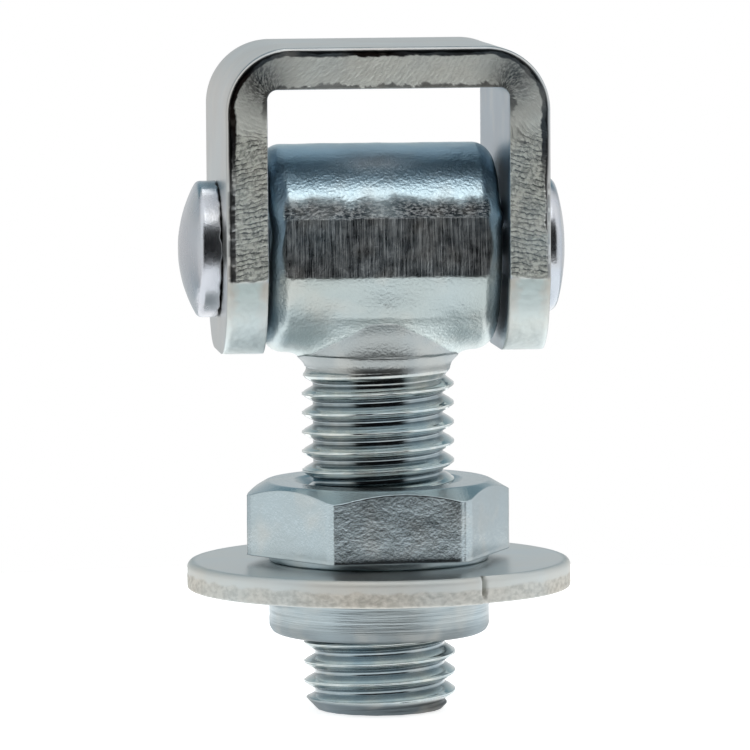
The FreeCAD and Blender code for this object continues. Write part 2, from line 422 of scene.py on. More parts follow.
    # Places where the skin broke off: a strip down the front left ear. Round the bend, a dark stripe
    # along the front edge: partly a dark brown tint, partly a painted reflection of the dark front
    on_ear = ease(-9.5, -12.5, z)
    front_left = (across < 0) & (x < 0)
    strip_width = np.where(front_left, 1.15, 0.5)
    strip = ease(strip_width + 0.12, strip_width - 0.12, from_outer) * ease(-15, -19, z) * (1 - ear_down)
    sheared = sheared * (1 - 0.9 * strip * front_left)
    beats = course(s, (1, 0.75, 15), side=np.sign(x))
    beats = beats + 0.3 * noise(s, from_outer, 0 * s, (0.3, 0.4, 1), 16)
    on_edge = edge < ROLLED_EDGE_R
    notches_and_painted_dark_band = 0.62 * strip * ease(-0.4, -0.1, beats) * on_edge * ease(0.05, 0.3, from_outer)
    ragged = course(s, (0.32, 0.7, 17), (0.2, 0.25, 20))
    notches_and_painted_dark_band = notches_and_painted_dark_band + 0.7 * (ease(0.7, 0.45, depth + ragged) * ease(-10, -7, z)) * sheared
    border = 1.16 + 0.14 * ease(-6, -10, z) + course(s, (0.14, 1.1, 18), (0.08, 0.4, 19))
    # The dark stripe along the front edge: partly a dark brown tint, partly a painted reflection of the
    # dark front in the rolled edge
    tint_and_painted_reflection_band = ease(border + 0.07, border - 0.07, from_outer) * ease(0.3, 0.42, from_outer)
    notches_and_painted_dark_band = np.maximum(notches_and_painted_dark_band, tint_and_painted_reflection_band * on_edge * ease(-19, -13, z))
    cracked = sheared * (0.1 + 0.9 * on_ear)
    y = y - side * 0.06 * notches_and_painted_dark_band * on_edge

    bar = np.stack([s + 0.7 * (mid_depth - depth) * (1 - on_ear), depth, across], axis=-1)
    edges = np.stack([sheared, cracked, notches_and_painted_dark_band], axis=-1)
    end_face = ear_down * (half_width[:, None] * shrink - np.abs(across) < 0.4)
    wear = np.stack([bend, end_face, 0 * bend], axis=-1)
    piece = grid_mesh("bracket_strap", x, y, z, attributes={"bar": bar, "edges": edges, "wear": wear})
    cut_bore(piece, PIN_R, OUTER_HALF + 1, PIN_Z)
    return piece


def make_hinge_pin():
    """One rivet turned about X: dome, rim and underside of the forged head, shank, peened head.

    The rims are a little out of round, and the forged head's underside stands off the ear in
    places, which leaves the dark gap seen beside it.
    """
    def head(top_x, rim, rounding):
        away = math.copysign(1, top_x)
        rise = abs(top_x) - OUTER_HALF - rim
        sphere = (HEAD_R ** 2 + rise ** 2) / (2 * rise)
        centre = abs(top_x) - sphere
        lean = math.asin((HEAD_R - rounding) / (sphere - rounding))
        dome = np.linspace(0, lean, 34)
        shoulder = np.linspace(lean, math.pi / 2, 9)[1:]
        shoulder_x = centre + (sphere - rounding) * math.cos(lean)
        rim_x = np.linspace(shoulder_x, OUTER_HALF, 12)[1:]
        u = [centre + sphere * np.cos(dome), shoulder_x + rounding * np.cos(shoulder), rim_x]
        r = [sphere * np.sin(dome), HEAD_R - rounding + rounding * np.sin(shoulder), HEAD_R + 0 * rim_x]
        return away * np.concatenate(u), np.concatenate(r)

    forged_x, forged_r = head(pin_low[0], HEAD_RIM, HEAD_ROUND)
    peened_x, peened_r = head(pin_high[0], PEEN_RIM, PEEN_ROUND)
    shank_x = np.linspace(-OUTER_HALF, OUTER_HALF, 12)
    under_r = np.linspace(HEAD_R - 0.25, PIN_R, 5)
    u = np.concatenate([forged_x, -OUTER_HALF + 0 * under_r, shank_x[1:-1],
                        OUTER_HALF + 0 * under_r, peened_x[::-1]])
    r = np.concatenate([forged_r, under_r, PIN_R + 0 * shank_x[1:-1], under_r[::-1], peened_r[::-1]])
    angle = full_turn(240)
    r, u = r[:, None] + 0 * angle, u[:, None] + 0 * angle
    outer = ease(HEAD_R - 1.2, HEAD_R - 0.2, r)
    wobble = noise(np.cos(angle) * 6, np.sin(angle) * 6, np.sign(u) * 3, (2.2, 2.2, 1), 31)
    burr = noise(np.cos(angle) * 9, np.sin(angle) * 9, 0 * u, (1.1, 1.1, 1), 32)
    r = r - 0.06 * outer * (1 + wobble)
    near_ear = ease(1.0, 0.1, np.abs(np.abs(u) - OUTER_HALF)) * outer
    u = u + near_ear * np.where(u < 0, -1, 1) * (0.2 + 0.18 * burr)
    flats = noise(r * np.cos(angle), r * np.sin(angle), np.sign(u), (3.2, 3.2, 1), 33)
    u = u - np.sign(u) * 0.05 * np.abs(flats) * (1 - outer) * (np.abs(u) > OUTER_HALF + 0.5)
    return grid_mesh("hinge_rivet", u, -r * np.cos(angle), PIN_Z + r * np.sin(angle))


def shape_gaps(x, y, z):
    """How far a point lies outside the eye, and outside the neck, in mm.

    Under the eye the neck flares a little at its two sides, and later but more at front and back.
    """
    radial = np.hypot(y, z - PIN_Z) - (EYE_R - EYE_END_FILLET)
    axial = np.abs(x) - (EYE_HALF - EYE_END_FILLET)
    to_eye = np.hypot(np.clip(radial, 0, None), np.clip(axial, 0, None))
    to_eye = to_eye + np.minimum(np.maximum(radial, axial), 0) - EYE_END_FILLET
    above = np.clip(z - (PIN_Z - EYE_R), 0, 5)
    out = np.hypot(x, y)
    sideways = (x / np.maximum(out, 1)) ** 2
    flare = 0.023 * above ** 2 * sideways + 0.15 * np.clip(above - 1.9, 0, 4) ** 2 * (1 - sideways)
    to_neck = out - SHANK_R - flare
    return to_eye, to_neck


def swollen(r, point_at, where):
    """How far each point moves out to reach the fillet that joins the eye and the neck.

    point_at gives a point from a radius. Both gaps meet in a smooth minimum, as the die's fillet
    blends them. The second value tells how much nearer the neck is than the eye, in mm.
    """
    blend = 1.17 * NECK_FILLET
    swell = 0 * r
    for _ in range(6):
        to_eye, to_neck = shape_gaps(*point_at(r + swell))
        overlap = np.clip(blend - np.abs(to_eye - to_neck), 0, blend) / blend
        gap = np.minimum(to_eye, to_neck) - overlap ** 2 * blend / 4
        swell = np.where(where, np.clip(swell - 0.8 * gap, 0, 1.6), 0)
    return swell, to_eye - to_neck


def eye_skin(x, y, z, seed):
    """Height of the forging's scaled skin in mm: shallow dents with a finer grain over them."""
    return layers(x, y, z, (0.05, 3.5, seed), (0.02, 1.2, seed + 1), (0.008, 0.45, seed + 2))


def make_eye():
    """The eye's barrel turned about X, with the pin's bore through it, trimmed flat front and back.

    The radius is that of the barrel's outline, but no point passes the trimming planes, which lean
    a little back. Above the front flat and below the back one the trim tore the skin into a rough
    strip. Near the stud the surface swells out to the fillet, and dives under the neck's own
    surface along the arch where the two are equally near.
    """
    mouth = 0.4
    outline = [
        (EYE_HALF - mouth, BORE_R, 0),
        (-(EYE_HALF - mouth), BORE_R, 0),
        (-EYE_HALF, BORE_R + mouth, 0),
        (-EYE_HALF, EYE_R, EYE_END_FILLET),
        (EYE_HALF, EYE_R, EYE_END_FILLET),
        (EYE_HALF, BORE_R + mouth, 0),
    ]
    u, r = rounded_path(outline, 0.2)
    in_bore = r < BORE_R + 0.01
    keep = ~in_bore | (np.arange(len(u)) % 10 == 0)
    u, r = u[keep][:, None], r[keep][:, None]
    trim = math.acos(TRIM_Y / EYE_R)
    lean = math.radians(3.8)
    stops = [-trim, trim, math.pi - trim, math.pi + trim, 2 * math.pi - trim]
    angle = spaced([stop + lean for stop in stops], 0.0152)[:-1][None, :]
    r, u = r + 0 * angle, u + 0 * angle
    height = r * np.sin(angle)
    front = np.cos(angle) > 0
    on_flat = EYE_R * np.sin(angle - lean)
    torn_side = np.where(front, on_flat, -on_flat)

    outer = r > EYE_R - EYE_END_FILLET
    swell, nearer_neck = swollen(
        r, lambda radius: (u, -radius * np.cos(angle), PIN_Z + radius * np.sin(angle)),
        outer & (height < -4))
    swell = swell * ease(-4.0, -7.0, height)
    swell = swell - 0.1 * ease(-0.1, 0.25, nearer_neck) * outer * (height < -4)

    trim_top = TRIM_Y * math.tan(trim)
    wander = course(u, (0.5, 4.5, 41), (0.3, 1.2, 42), side=1)
    reach = EYE_HALF - 1.9
    along = ease(reach + 0.25, reach - 0.05, np.abs(u) + 0.15 * noise(u, height, 0 * u, (9, 0.6, 1), 43))
    torn = along * ease(trim_top - 0.5, trim_top + 0.1, torn_side)
    torn = torn * ease(trim_top + 3.0, trim_top + 1.0, torn_side + wander)
    fringe = 0.25 * np.clip(course(u, (0.3, 0.5, 44)), 0, 1)
    flat = along * ease(trim_top + 0.1, trim_top - 0.12, np.abs(on_flat) + fringe)
    torn = torn * (1 - 0.4 * np.exp(-((u + 0.5) / 2.2) ** 2))
    rough = layers(u, height, 0 * u, (1, (0.6, 0.3, 1), 45), (0.7, (0.4, 0.22, 1), 46))
    r = r + swell
    r = r + np.where(outer, eye_skin(u, r * np.cos(angle), height, 51), 0) * (1 - flat) * (1 - torn)
    r = r + torn * (0.12 * rough - 0.14)
    r = r - 0.33 * ease(12.4, 13.7, np.abs(u)) * ease(0.6, 0.8, np.abs(np.cos(angle))) * outer
    r = np.minimum(r, np.where(outer, TRIM_Y / np.maximum(np.abs(np.cos(angle - lean)), 0.05), 1e9))

    lump = 0.3 * np.exp(-((np.sin(angle) - 0.37) / 0.09) ** 2) * (u > 0)
    dip = 0.35 * np.exp(-((np.sin(angle) - 0.22) / 0.17) ** 2) * (u < 0)
    u = u + (lump + dip) * front * outer * ease(EYE_HALF - 2.4, EYE_HALF - 0.6, np.abs(u))
    x = np.clip(u, -EYE_HALF - 0.25, EYE_HALF + 0.25)
    y = -r * np.cos(angle)
    z = PIN_Z + r * np.sin(angle)
    # A rough patch with pits on the top of the front, which the material paints near white as a painted
    # highlight
    pits_and_painted_highlight = np.exp(-((u + 1) / 3.4) ** 2) + 0.3 * np.exp(-((u + 1) / 8) ** 2)
    pits_and_painted_highlight = np.clip(pits_and_painted_highlight, 0, 1) * np.exp(-((np.sin(angle) - 0.85) / 0.075) ** 2) * front * outer
    scars_and_painted_highlight = np.stack([torn, flat, pits_and_painted_highlight], axis=-1)
    return grid_mesh("eye_barrel", x, y, z, round_rows=True, attributes={"scars_and_painted_highlight": scars_and_painted_highlight})


def thread_radius(phase, crest_fill):
    """Radius of the rolled thread at a share of its pitch, 0 at the middle of the crest.

    A 60 degree thread: flat crest, straight flanks and a round root. Rolling leaves a shallow seam
    along the crest, deeper where crest_fill is low.
    """
    away = np.abs((phase + 0.5) % 1 - 0.5)
    crest_half = 0.075
    root_half = 0.09
    flank = np.clip((away - crest_half) / (0.5 - crest_half - root_half), 0, 1)
    flank = flank + 0.035 * (np.clip(1 - flank / 0.25, 0, 1) ** 2 * (flank > 0))
    radius = STUD_R - (STUD_R - ROOT_R) * np.clip(flank, 0, 1)
    edge = 0.09 * ease(0.035, 0.085, away) * (flank <= 0.2)
    seam = 0.16 * ease(0.05, 0.015, away) * (1 - crest_fill)
    return radius - edge - seam


def make_stud():
    """Neck, run-out, thread, chamfer and end face as one surface, its rows wound as the thread is.

    A row follows the helix, so each crest edge and root lies along the grid, and a turn joins its
    row to the one a pitch above. Past the end face the rows run inwards on it to its middle, and
    above the arch they close inside the eye.
    """
    shares = np.array([0, 0.022, 0.045, 0.065, 0.085, 0.12, 0.17, 0.23, 0.29, 0.35, 0.4, 0.44,
                       0.5, 0.56, 0.6, 0.65, 0.71, 0.77, 0.83, 0.88, 0.915, 0.935, 0.955, 0.978])
    per_turn = len(shares)
    top_z = PIN_Z - BORE_R - 1.1
    crest_at_left_z = -46.07
    start = crest_at_left_z + PITCH * (math.floor((top_z - crest_at_left_z) / PITCH) + 2)
    end_run = 3.2
    turns = math.ceil((start - STUD_END_Z) / PITCH + end_run) + 1
    row = np.arange(turns * per_turn)[:, None]
    drop = PITCH * (row // per_turn + shares[row % per_turn])
    columns = 168
    turn = (np.arange(columns) / columns)[None, :]
    angle = 2 * math.pi * turn
    ring_x, ring_y = np.cos(angle) * STUD_R, np.sin(angle) * STUD_R
    run = start - drop + PITCH * turn
    phase = shares[row % per_turn] + 0 * turn
    crest_fill = np.clip(0.5 + layers(ring_x, ring_y, run, (0.5, 2.4, 61), (0.25, 0.7, 62)), 0, 1)

    z = np.clip(run, STUD_END_Z, top_z)
    threaded = thread_radius(phase, crest_fill)
    runout = ease(NECK_END_Z + 1.5, NECK_END_Z - 1.4, z)
    r = SHANK_R + (threaded - SHANK_R) * runout
    swell, nearer_neck = swollen(
        r, lambda radius: (-radius * np.sin(angle), radius * np.cos(angle), z), z > NECK_END_Z + 1)
    swell = swell - 0.35 * ease(0.1, -0.9, nearer_neck)
    r = r + swell * ease(NECK_END_Z, NECK_END_Z + 2, z)
    collar = NECK_END_Z + 2.8
    r = r + 0.26 * ease(collar + 0.03, collar - 0.1, z) * ease(collar - 1.5, collar - 0.1, z)
    forged = 0.03 * noise(r * np.cos(angle), r * np.sin(angle), z, 2, 63)
    r = r + forged * ease(NECK_END_Z - 2, NECK_END_Z, z)
    dull = 0.006 * noise(r * np.cos(angle), r * np.sin(angle), z, 0.6, 64)
    r = r + dull * ease(NECK_END_Z, NECK_END_Z - 2, z)
    chamfer_r = STUD_TIP_R + 0.15 + (z - STUD_END_Z) * 0.95
    r = np.minimum(r, chamfer_r)
    past_end = np.clip(STUD_END_Z - run, 0, None) / (end_run - 1.1) / PITCH
    r = r * (1 - np.clip(past_end, 0, 1))
    past_top = np.clip(run - top_z, 0, None) / 1.4
    r = r * (1 - np.clip(past_top, 0, 1))
    x = r * np.sin(angle + math.pi)
    y = r * np.cos(angle)
    # How deep each point lies in the thread; the material paints shade deep in the grooves from it
    groove = np.clip((STUD_R - r) / (STUD_R - ROOT_R), 0, 1) * runout
    return grid_mesh("threaded_stud", x, y, z, row_shift=per_turn, attributes={"groove": groove})


def make_lock_nut():
    """A hexagon as a radius by angle, under a 30 degree chamfer cone, over a round washer face.

    The outline runs up the bore, over the top face, down the cone and the flats, under the flats'
    lower edge and down the washer face. A point on the cone or a flat goes out to the hexagon's
    radius at its angle, so the cone meets each flat in an arc.
    """
    angle = full_turn(480)
    to_middle = (angle - math.radians(NUT_TURN) + math.pi / 6) % (math.pi / 3) - math.pi / 6
    hexagon = NUT_FLATS / 2 / np.cos(to_middle)
    corner = NUT_FLATS / 2 / math.cos(math.pi / 6)
    soft = 0.32
    hexagon = hexagon - soft * ease(corner - 0.9, corner, hexagon) ** 2
    slope = math.tan(math.radians(NUT_CHAMFER_ANGLE))
    under_z = DISC_TOP_Z + 0.03
    seat_z = DISC_TOP_Z + WASHER_FACE_HEIGHT

    face_edge = NUT_CHAMFER_R - 0.25
    washer_r = NUT_CHAMFER_R - 0.2
    lower_r = THREAD_MOUTH_R - 0.5
    rows = []

    def run(count, at, skip=1):
        rows.extend(at(share) for share in np.linspace(0, 1, count)[skip:])

    def cone(share):
        r = face_edge + (hexagon - face_edge) * share
        beyond = np.clip(r - NUT_CHAMFER_R, -0.25, None)
        return r, NUT_TOP_Z - slope * np.where(beyond > 0.25, beyond, (beyond + 0.25) ** 2)

    run(10, lambda t: (THREAD_BORE_R, DISC_TOP_Z + 1.5 + (NUT_TOP_Z - DISC_TOP_Z - 3.8) * t), skip=0)
    run(8, lambda t: (THREAD_BORE_R + (THREAD_MOUTH_R - THREAD_BORE_R) * t, NUT_TOP_Z - 2.3 * (1 - t)))
    run(14, lambda t: (THREAD_MOUTH_R + (face_edge - THREAD_MOUTH_R) * t, NUT_TOP_Z))
    run(18, cone)
    cone_end = rows[-1][1]
    run(46, lambda t: (hexagon, cone_end + (seat_z + 0.12 - cone_end) * t))
    run(5, lambda t: (hexagon - 0.12 * t ** 2, seat_z + 0.12 - 0.12 * math.sin(t * math.pi / 2)))
    run(5, lambda t: (hexagon - 0.12 + (washer_r - hexagon + 0.12) * t, seat_z))
    run(6, lambda t: (washer_r - 0.15 * t ** 3, seat_z + (under_z - seat_z) * t))
    run(6, lambda t: (washer_r - 0.15 + (lower_r - washer_r + 0.15) * t, under_z))
    run(5, lambda t: (lower_r + (THREAD_BORE_R - lower_r) * t, under_z + 1.45 * t))
    r, z = (np.stack([(row[i] + 0 * angle)[0] for row in rows]) for i in (0, 1))
    x, y = about_z(r, angle)
    on_side = ease(THREAD_MOUTH_R + 2.5, NUT_CHAMFER_R + 0.4, r) * ease(seat_z, seat_z + 0.5, z)
    dents = layers(x, y, z, (0.025, 3.0, 71), (0.008, 1.1, 72), (0.006, 0.5, 73))
    r = r + on_side * (dents - 0.05)
    x, y = about_z(r, angle)
    return grid_mesh("hex_nut", x, y, z, round_rows=True)


def make_flange_disc():
    """A blanked ring: rolled upper edge, burnished land, broken lower part of the rim.

    The rim's radius steps in at one place, where the blank's two cuts met, and comes back over a
    stretch of the rim. The broken part carries small tears.
    """
    outline = [
        (SPIGOT_R, DISC_UNDER_Z + 0.3, 0),
        (SPIGOT_R, DISC_TOP_Z, 0.15),
        (DISC_R, DISC_TOP_Z, DISC_ROLL),
        (DISC_R, DISC_UNDER_Z, 0.3),
        (BOSS_R, DISC_UNDER_Z, 0),
        (BOSS_R, DISC_UNDER_Z + 0.3, 0),
    ]
    r, z = rounded_path(outline, 0.2)
    inner = (r < DISC_R - 1.6) & (np.arange(len(r)) % 4 != 0)
    inner = inner & (np.abs(r - SPIGOT_R) > 0.01) & (np.abs(r - BOSS_R) > 0.01)
    r, z = r[~inner][:, None], z[~inner][:, None]
    step_at = math.radians(25.4)
    step_width = math.radians(1.6)
    fine_from, fine_to = step_at - 0.12, step_at + 0.12
    angle = spaced([step_at - math.pi, fine_from, fine_to, step_at + math.pi], 0.0085)[:-1]
    fine = np.linspace(fine_from, fine_to, 60, endpoint=False)
    angle = np.concatenate([angle[angle < fine_from], fine, angle[angle >= fine_to]])[None, :]
    r, z = r + 0 * angle, z + 0 * angle
    round_rim = angle * 25
    past = angle - step_at
    step = 0.55 * ease(0, step_width, past) * (1 - ease(0.05, 0.5, past))
    groove = np.exp(-((past - 0.024) / 0.015) ** 2)
    rim = ease(DISC_R - 1.3, DISC_R - 0.2, r)
    level = (z - DISC_UNDER_Z) / (DISC_TOP_Z - DISC_UNDER_Z)
    broken = rim * ease(0.62, 0.52, level + course(round_rim, (0.06, 1.4, 81)))
    broken = broken * ease(0.0, 0.06, level)
    tears = layers(round_rim, z, 0 * z, (1, (0.55, 0.9, 1), 82), (0.6, (0.3, 0.35, 1), 83))
    wave = course(round_rim, (0.06, 6, 84))
    r = r - rim * (step + groove * ease(0.15, 0.4, level) + 0.06 + wave) + broken * 0.03 * tears
    near = np.exp(-(past / 0.05) ** 2) * (past < 0.018)
    z = z + 0.12 * near * rim * ease(0.6, 1.0, level)
    x, y = about_z(r, angle)
    rims = np.stack([rim, broken, 0 * rim], axis=-1)
    return grid_mesh("weld_disc", x, y, z, round_rows=True, attributes={"rims": rims})


def make_threaded_boss():
    """A turned bush: spigot in the disc, shoulder, plain side with tool rings, round lower edge."""
    spigot_top = boss_high[2]
    outline = [
        (THREAD_BORE_R, spigot_top - 2.0, 0),
        (THREAD_BORE_R, BOSS_END_Z + 2.0, 0),
        (THREAD_MOUTH_R - 0.3, BOSS_END_Z, 0.2),
        (BOSS_R, BOSS_END_Z, BOSS_ROUND),
        (BOSS_R, DISC_UNDER_Z, 0.15),
        (SPIGOT_R, DISC_UNDER_Z + 0.1, 0),
        (SPIGOT_R, spigot_top, 0.2),
        (THREAD_MOUTH_R - 0.3, spigot_top, 0.2),
        (THREAD_BORE_R, spigot_top - 2.0, 0),
    ]
    r, z = rounded_path(outline, 0.15)
    r, z = r[:-1][:, None], z[:-1][:, None]
    angle = full_turn(256)
    side = ease(BOSS_R - 0.4, BOSS_R - 0.1, r)
    rings = layers(0 * z, 0 * z, z, (0.02, (1, 1, 0.32), 91), (0.012, (1, 1, 0.9), 92))
    r, z = r + side * (rings - 0.03) + 0 * angle, z + 0 * angle
    x, y = about_z(r, angle)
    lower = ease(BOSS_END_Z + 1.6, BOSS_END_Z + 0.6, z) * ease(BOSS_R - 2.2, BOSS_R - 1.2, r)
    grain = 0.03 * noise(x, y, z, 0.6, 93) * lower
    x, y = about_z(r + grain, angle)
    return grid_mesh("boss_bush", x, y, z, round_rows=True)


# Materials

def linear(code):
    """An sRGB hex colour as linear RGBA."""
    parts = [int(code[i:i + 2], 16) / 255 for i in (1, 3, 5)]
    return [c / 12.92 if c <= 0.04045 else ((c + 0.055) / 1.055) ** 2.4 for c in parts] + [1.0]


def add(finish, kind, inputs=None, stops=None, **settings):
    """Adds a node to a material or world, with its settings, inputs and ramp; gives its outputs."""
    tree = finish.node_tree
    made = tree.nodes.new("ShaderNode" + kind)
    for label, value in settings.items():
        setattr(made, label, value)
    if stops:
        ramp = made.color_ramp
        while len(ramp.elements) < len(stops):
            ramp.elements.new(0.5)
        for element, (position, colour) in zip(ramp.elements, stops):
            element.position = position
            element.color = (*colour, 1)
    for label, value in (inputs or {}).items():
        if isinstance(value, bpy.types.NodeSocket):
            tree.links.new(value, made.inputs[label])
        else:
            made.inputs[label].default_value = value
    return made.outputs


def emptied(finish):
    """A material or world whose tree has no nodes yet."""
    finish.use_nodes = True
    finish.node_tree.nodes.clear()
    return finish


def start(name):
    """An empty material, and the piece's own coordinates in millimetres."""
    zinc = emptied(bpy.data.materials.new(name))
    place = add(zinc, "TexCoord")["Object"]
    return zinc, add(zinc, "VectorMath", {0: place, 1: (1 / MM,) * 3}, operation="MULTIPLY")["Vector"]


def speckle(zinc, place, size, detail, roughness=0.5):
    """Noise from 0 to 1, with grains of that size in the coordinates' own unit."""
    return add(zinc, "TexNoise", {"Vector": place, "Scale": 1 / size, "Detail": detail,
                                  "Roughness": roughness})["Fac"]


def stretch(zinc, place, scale):
    """Coordinates scaled by a factor for each axis."""
    return add(zinc, "Mapping", {"Vector": place, "Scale": scale})[0]


def split(zinc, vector):
    """The three numbers of a vector, by place or by axis."""
    return add(zinc, "SeparateXYZ", {0: vector})


def painted(zinc, label, output="Vector"):
    """A value that the mesh carries at its points."""
    return add(zinc, "Attribute", attribute_name=label)[output]


def rescale(zinc, value, low, high, to_low=0.0, to_high=1.0):
    """A value carried from one range to another, and held at both ends."""
    return add(zinc, "MapRange", {"Value": value, "From Min": low, "From Max": high,
                                  "To Min": to_low, "To Max": to_high})[0]


def tint(zinc, share, first, second):
    """A mix of two colours, each an sRGB code or an output."""
    first, second = (linear(c) if isinstance(c, str) else c for c in (first, second))
    return add(zinc, "Mix", {0: share, 6: first, 7: second}, data_type="RGBA")[2]


def shade(zinc, value, low, high, first, second):
    """One colour where a value is at low, another where it is at high, and a mix between."""
    return tint(zinc, rescale(zinc, value, low, high), first, second)


def between(zinc, share, first, second):
    """A mix of two numbers."""
    return add(zinc, "Mix", {0: share, 2: first, 3: second})[0]


def work_out(zinc, operation, *values):
    """One step of arithmetic."""
    return add(zinc, "Math", dict(enumerate(values)), operation=operation)[0]


def bump(zinc, height, depth, under=None, strength=1.0):
    """Relief of that depth in mm over the relief under it."""
    inputs = {"Height": height, "Distance": depth * MM, "Strength": strength}
    if under is not None:
        inputs["Normal"] = under
    return add(zinc, "Bump", inputs)[0]


def plate(zinc, place, colour, roughness, relief, grain_depth=0.012):
    """The finish that all the pieces share: a thin bright zinc deposit, blue passivated.

    The deposit follows the steel below and adds its own grain, about 0.25 mm, which breaks a
    reflection into sparkle. Its tint drifts over some 10 mm between blue, grey and a faint warm
    tone, as the passivation film varies in thickness.
    """
    drift = rescale(zinc, speckle(zinc, place, 11, 1.0), 0.35, 0.75, 0, 0.3)
    colour = tint(zinc, drift, colour, "#B4CAD6")
    warm = rescale(zinc, speckle(zinc, place, 5, 2.0), 0.5, 0.8, 0, 0.3)
    colour = tint(zinc, warm, colour, "#D2CBC0")
    normal = bump(zinc, speckle(zinc, place, 0.25, 2.0), grain_depth, relief)
    shader = add(zinc, "BsdfPrincipled", {"Base Color": colour, "Metallic": 1.0, "Roughness": roughness,
                                          "Normal": normal})[0]
    add(zinc, "OutputMaterial", {"Surface": shader})
    return zinc


def rolled_bar_zinc():
    """Zinc on hot-rolled flat bar: smooth satin faces, and sheared edges torn across the bar.

    The shear leaves wavy cracks about 0.8 mm apart across the bar, broken off every 1 to 2 mm, and
    the fold crushes the edge darker near the bends. The sheared skin scatters light and looks
    pale and matt. A dark stripe along the front edges is partly a dark tint and partly a painted
    reflection of the dark front. The ears' ends are sheared clean: a pale middle between two warmer
    strips, painted paler towards the bottom as painted light.
    """
    zinc, place = start("zinc on rolled bar")
    bar = painted(zinc, "bar")
    edges = split(zinc, painted(zinc, "edges"))
    sheared, cracked, notches_and_painted_dark_band = edges[0], edges[1], edges[2]
    wear = split(zinc, painted(zinc, "wear"))
    folded, ear_end = wear[0], wear[1]
    depth = split(zinc, bar)["Y"]
    flat = stretch(zinc, bar, (1, 0.75, 1))
    ripples = add(zinc, "TexWave", {"Vector": flat, "Scale": 0.5, "Distortion": 6.0, "Detail": 3.0,
                                    "Detail Scale": 1.7, "Detail Roughness": 0.65})["Fac"]
    clusters = speckle(zinc, bar, 1.3, 1.0)
    open_here = rescale(zinc, clusters, 0.36, 0.52)
    lines = work_out(zinc, "MULTIPLY", rescale(zinc, ripples, 0.26, 0.02), open_here)
    lines = work_out(zinc, "MULTIPLY", lines, cracked)
    pits = speckle(zinc, bar, 0.4, 3.0)
    spots = rescale(zinc, pits, 0.38, 0.58)
    face = shade(zinc, depth, 0.05, 0.4, "#93A0AC", "#B4B4B2")
    off_middle = work_out(zinc, "ABSOLUTE", work_out(zinc, "SUBTRACT", depth, STRAP_THICKNESS / 2))
    off_middle = work_out(zinc, "MULTIPLY_ADD", clusters, 2.0, off_middle)
    end_face = shade(zinc, off_middle, 2.1, 3.3, "#B4C0BE", "#B7B4AC")
    height = split(zinc, place)["Z"]
    # Painted light: the ears' ends are painted paler towards the bottom
    end_face = shade(zinc, height, EAR_END_Z + 9, EAR_END_Z + 1, end_face, "#E4E9E6")
    face = tint(zinc, ear_end, face, end_face)
    torn = tint(zinc, spots, "#8F918B", "#C3C5BD")
    plain = rescale(zinc, cracked, 0.1, 0.9, 0.7, 0.0)
    torn = tint(zinc, plain, torn, "#EEF0EA")
    crushed = work_out(zinc, "MULTIPLY", folded, spots)
    crushed = between(zinc, 0.55, crushed, folded)
    torn = tint(zinc, crushed, torn, "#232627")
    crack = work_out(zinc, "MULTIPLY", lines, 0.85)
    torn = tint(zinc, crack, torn, "#2B2C2A")
    colour = tint(zinc, sheared, face, torn)
    # Notches, and the dark stripe along the front edge, which is partly a dark tint and partly a painted
    # reflection of the dark front
    colour = tint(zinc, notches_and_painted_dark_band, colour, "#1E1917")
    roughness = rescale(zinc, sheared, 0, 1, 0.3, 0.66)
    roughness = between(zinc, ear_end, roughness, 0.58)
    relief = bump(zinc, ripples, 0.16, strength=cracked)
    relief = bump(zinc, pits, 0.1, relief, sheared)
    relief = bump(zinc, clusters, 0.12, relief, ear_end)
    return plate(zinc, place, colour, roughness, relief)


def rivet_zinc():
    """Zinc on a cold-headed rivet: bright, with faint dents from the heading tool."""
    zinc, place = start("zinc on headed rivet")
    relief = bump(zinc, speckle(zinc, place, 1.6, 2.0), 0.04)
    roughness = rescale(zinc, speckle(zinc, place, 3, 2.0), 0.3, 0.7, 0.22, 0.3)
    return plate(zinc, place, linear("#B8BAC0"), roughness, relief)


